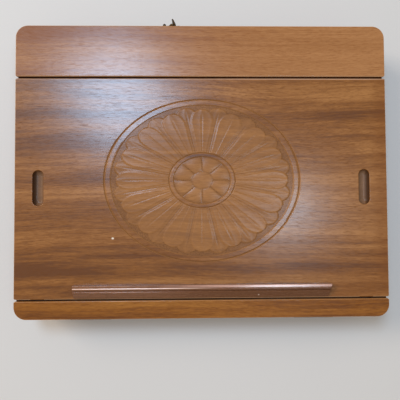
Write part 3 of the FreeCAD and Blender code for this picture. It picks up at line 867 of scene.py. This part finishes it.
LAMPS = (
    ("window", (-0.345, 0.50, 1.57), (0.0, 0.0, 0.07), (0.36, 0.44), 13.4, (0.485, 0.715, 1.0)),
    ("far_window", (0.40, -0.03, 1.57), (0.0, 0.0, 0.07), (0.16, 0.28), 3.6, (0.54, 0.78, 1.0)),
    ("left_softbox", (-2.75, 1.35, 2.7), (0.0, 0.0, 0.05), (1.7, 1.7), 74.0, (1.0, 0.91, 0.79)),
)
SKY = (1.0, 0.92, 0.81, 1.0)
SKY_STRENGTH = 0.42
FLOOR_HALF = 40.0
PHOTO_WIDTH = 400.0
FOCAL_PIXELS = 433.0
CAMERA_PLACE = (-0.0138, -0.0543, 0.5995)
CAMERA_DEGREES = (1.95, -1.17, -0.33)


def lamp(name, place, aim, size, power, colour):
    """A soft rectangular lamp."""
    light = bpy.data.lights.new(name, "AREA")
    light.shape = "RECTANGLE"
    light.size, light.size_y = size
    light.energy = power
    light.color = colour
    made = bpy.data.objects.new(name, light)
    made.location = place
    made.rotation_euler = (Vector(aim) - Vector(place)).to_track_quat("-Z", "Y").to_euler()
    scene.collection.objects.link(made)


def studio():
    """A pale paper floor that brightens with distance, the lamps and an even sky."""
    floor_mesh = bmesh.new()
    bmesh.ops.create_grid(floor_mesh, x_segments=8, y_segments=8, size=FLOOR_HALF)
    data = bpy.data.meshes.new("floor")
    floor_mesh.to_mesh(data)
    floor_mesh.free()
    floor = bpy.data.objects.new("floor", data)
    scene.collection.objects.link(floor)
    paper = Finish("floor_paper", Roughness=0.85)
    place = paper.place()
    x, y, _ = paper.split(place)
    cloud = paper.noise(paper.stretch(place, (1.3, 1.3, 1.3)), 2.0)
    near = paper.blend(tone(212, 204, 197), tone(217, 209, 202), cloud)
    away = paper.ease((x * x + y * y).root(), 0.7, 3.0)
    data.materials.append(paper.feed(Base_Color=paper.blend(near, tone(252, 248, 242), away)))

    for settings in LAMPS:
        lamp(*settings)
    world = bpy.data.worlds.new("studio")
    scene.world = world
    world.use_nodes = True
    back = world.node_tree.nodes["Background"]
    back.inputs["Color"].default_value = SKY
    back.inputs["Strength"].default_value = SKY_STRENGTH


def camera():
    """Overhead, a little towards the reader, as far off as the photograph's perspective says."""
    lens = bpy.data.cameras.new("camera")
    lens.sensor_width = 36.0
    lens.lens = FOCAL_PIXELS / PHOTO_WIDTH * lens.sensor_width
    lens.clip_start = 0.01
    made = bpy.data.objects.new("camera", lens)
    made.location = CAMERA_PLACE
    made.rotation_euler = [math.radians(a) for a in CAMERA_DEGREES]
    scene.collection.objects.link(made)
    scene.camera = made


# Assembly

def paint(finish, *names):
    """Gives CAD pieces a finish."""
    for name in names:
        data = nodes[name].data
        data.materials.clear()
        data.materials.append(finish)


far_wood = wood("far_rail_wood", 1.0, tone(133, 76, 35), tone(159, 102, 54), tone(174, 116, 67), tone(222, 172, 126),
                lean=0.46, coat=0.92)
near_wood = wood("near_rail_wood", 2.0, tone(101, 51, 7), tone(142, 82, 18), tone(166, 104, 36), tone(196, 138, 84),
                 lean=-0.05)
panel_wood = wood("panel_wood", 3.0, tone(102, 56, 20), tone(138, 83, 32), tone(166, 108, 54), tone(218, 172, 130),
                  lean=0.13, coat=1.0, streaks=PANEL_STREAKS, dress=dress_panel)
ledge_wood = wood("ledge_wood", 4.0, tone(66, 34, 14), tone(96, 54, 24), tone(124, 76, 40), tone(190, 136, 108),
                  lean=-0.5, gloss=0.17, coat=0.8, wear=0.10, dull=0.26, Specular_IOR_Level=1.0,
                  Specular_Tint=(1.0, 0.45, 0.26, 1.0), dress=dress_ledge)
CASE_TONES = (tone(112, 66, 30), tone(144, 92, 48), tone(166, 112, 64), tone(196, 144, 96))
wall_wood = wood("wall_wood", 5.0, *CASE_TONES)
side_wood = wood("side_wood", 6.0, *CASE_TONES, along="Y")
LONG_WALLS = ("front_wall", "back_wall")
SIDES = ("left_wall", "right_wall", "left_batten", "right_batten")
paint(far_wood, "far_rail")
paint(near_wood, "near_rail")
paint(wall_wood, *LONG_WALLS)
paint(side_wood, *SIDES)
soften(WOOD_ARRIS, "far_rail", "near_rail", *LONG_WALLS, *SIDES, "bottom_panel")
sliding_panel(panel_wood)
ledge(ledge_wood)

BRONZE_PIECES = ["latch_hook", "latch_plate", "latch_pivot", "catch_post"]
STEEL_PIECES = []
for side in ("left", "right"):
    BRONZE_PIECES += [f"{side}_hinge_case_leaf", f"{side}_hinge_lid_leaf", f"{side}_hinge_pin"]
    STEEL_PIECES += [f"{side}_stay_{part}" for part in ("arm", "bracket", "pin", "rivet", "track")]
bronze = metal("dark_bronze", tone(26, 25, 24), tone(46, 43, 39), 0.40, 0.4, worn=0.22)
steel = metal("zinc_plate", tone(160, 161, 162), tone(190, 190, 188), 0.34, 0.25)
paint(bronze, *BRONZE_PIECES)
paint(steel, *STEEL_PIECES)
soften(METAL_ARRIS, *BRONZE_PIECES, *STEEL_PIECES)
for name in ("hinge_case_screws", "hinge_lid_screws", "latch_plate_screws", "catch_screws"):
    driven_screws(name, bronze)
for name in ("batten_screws", "ledge_screws", "stay_bracket_screws", "track_screws"):
    driven_screws(name, steel)
paint(plywood(), "bottom_panel")
paint(rubber(), "front_left_foot", "front_right_foot", "back_left_foot", "back_right_foot")
lining(felt())

studio()
camera()
scene.view_settings.view_transform = "Standard"
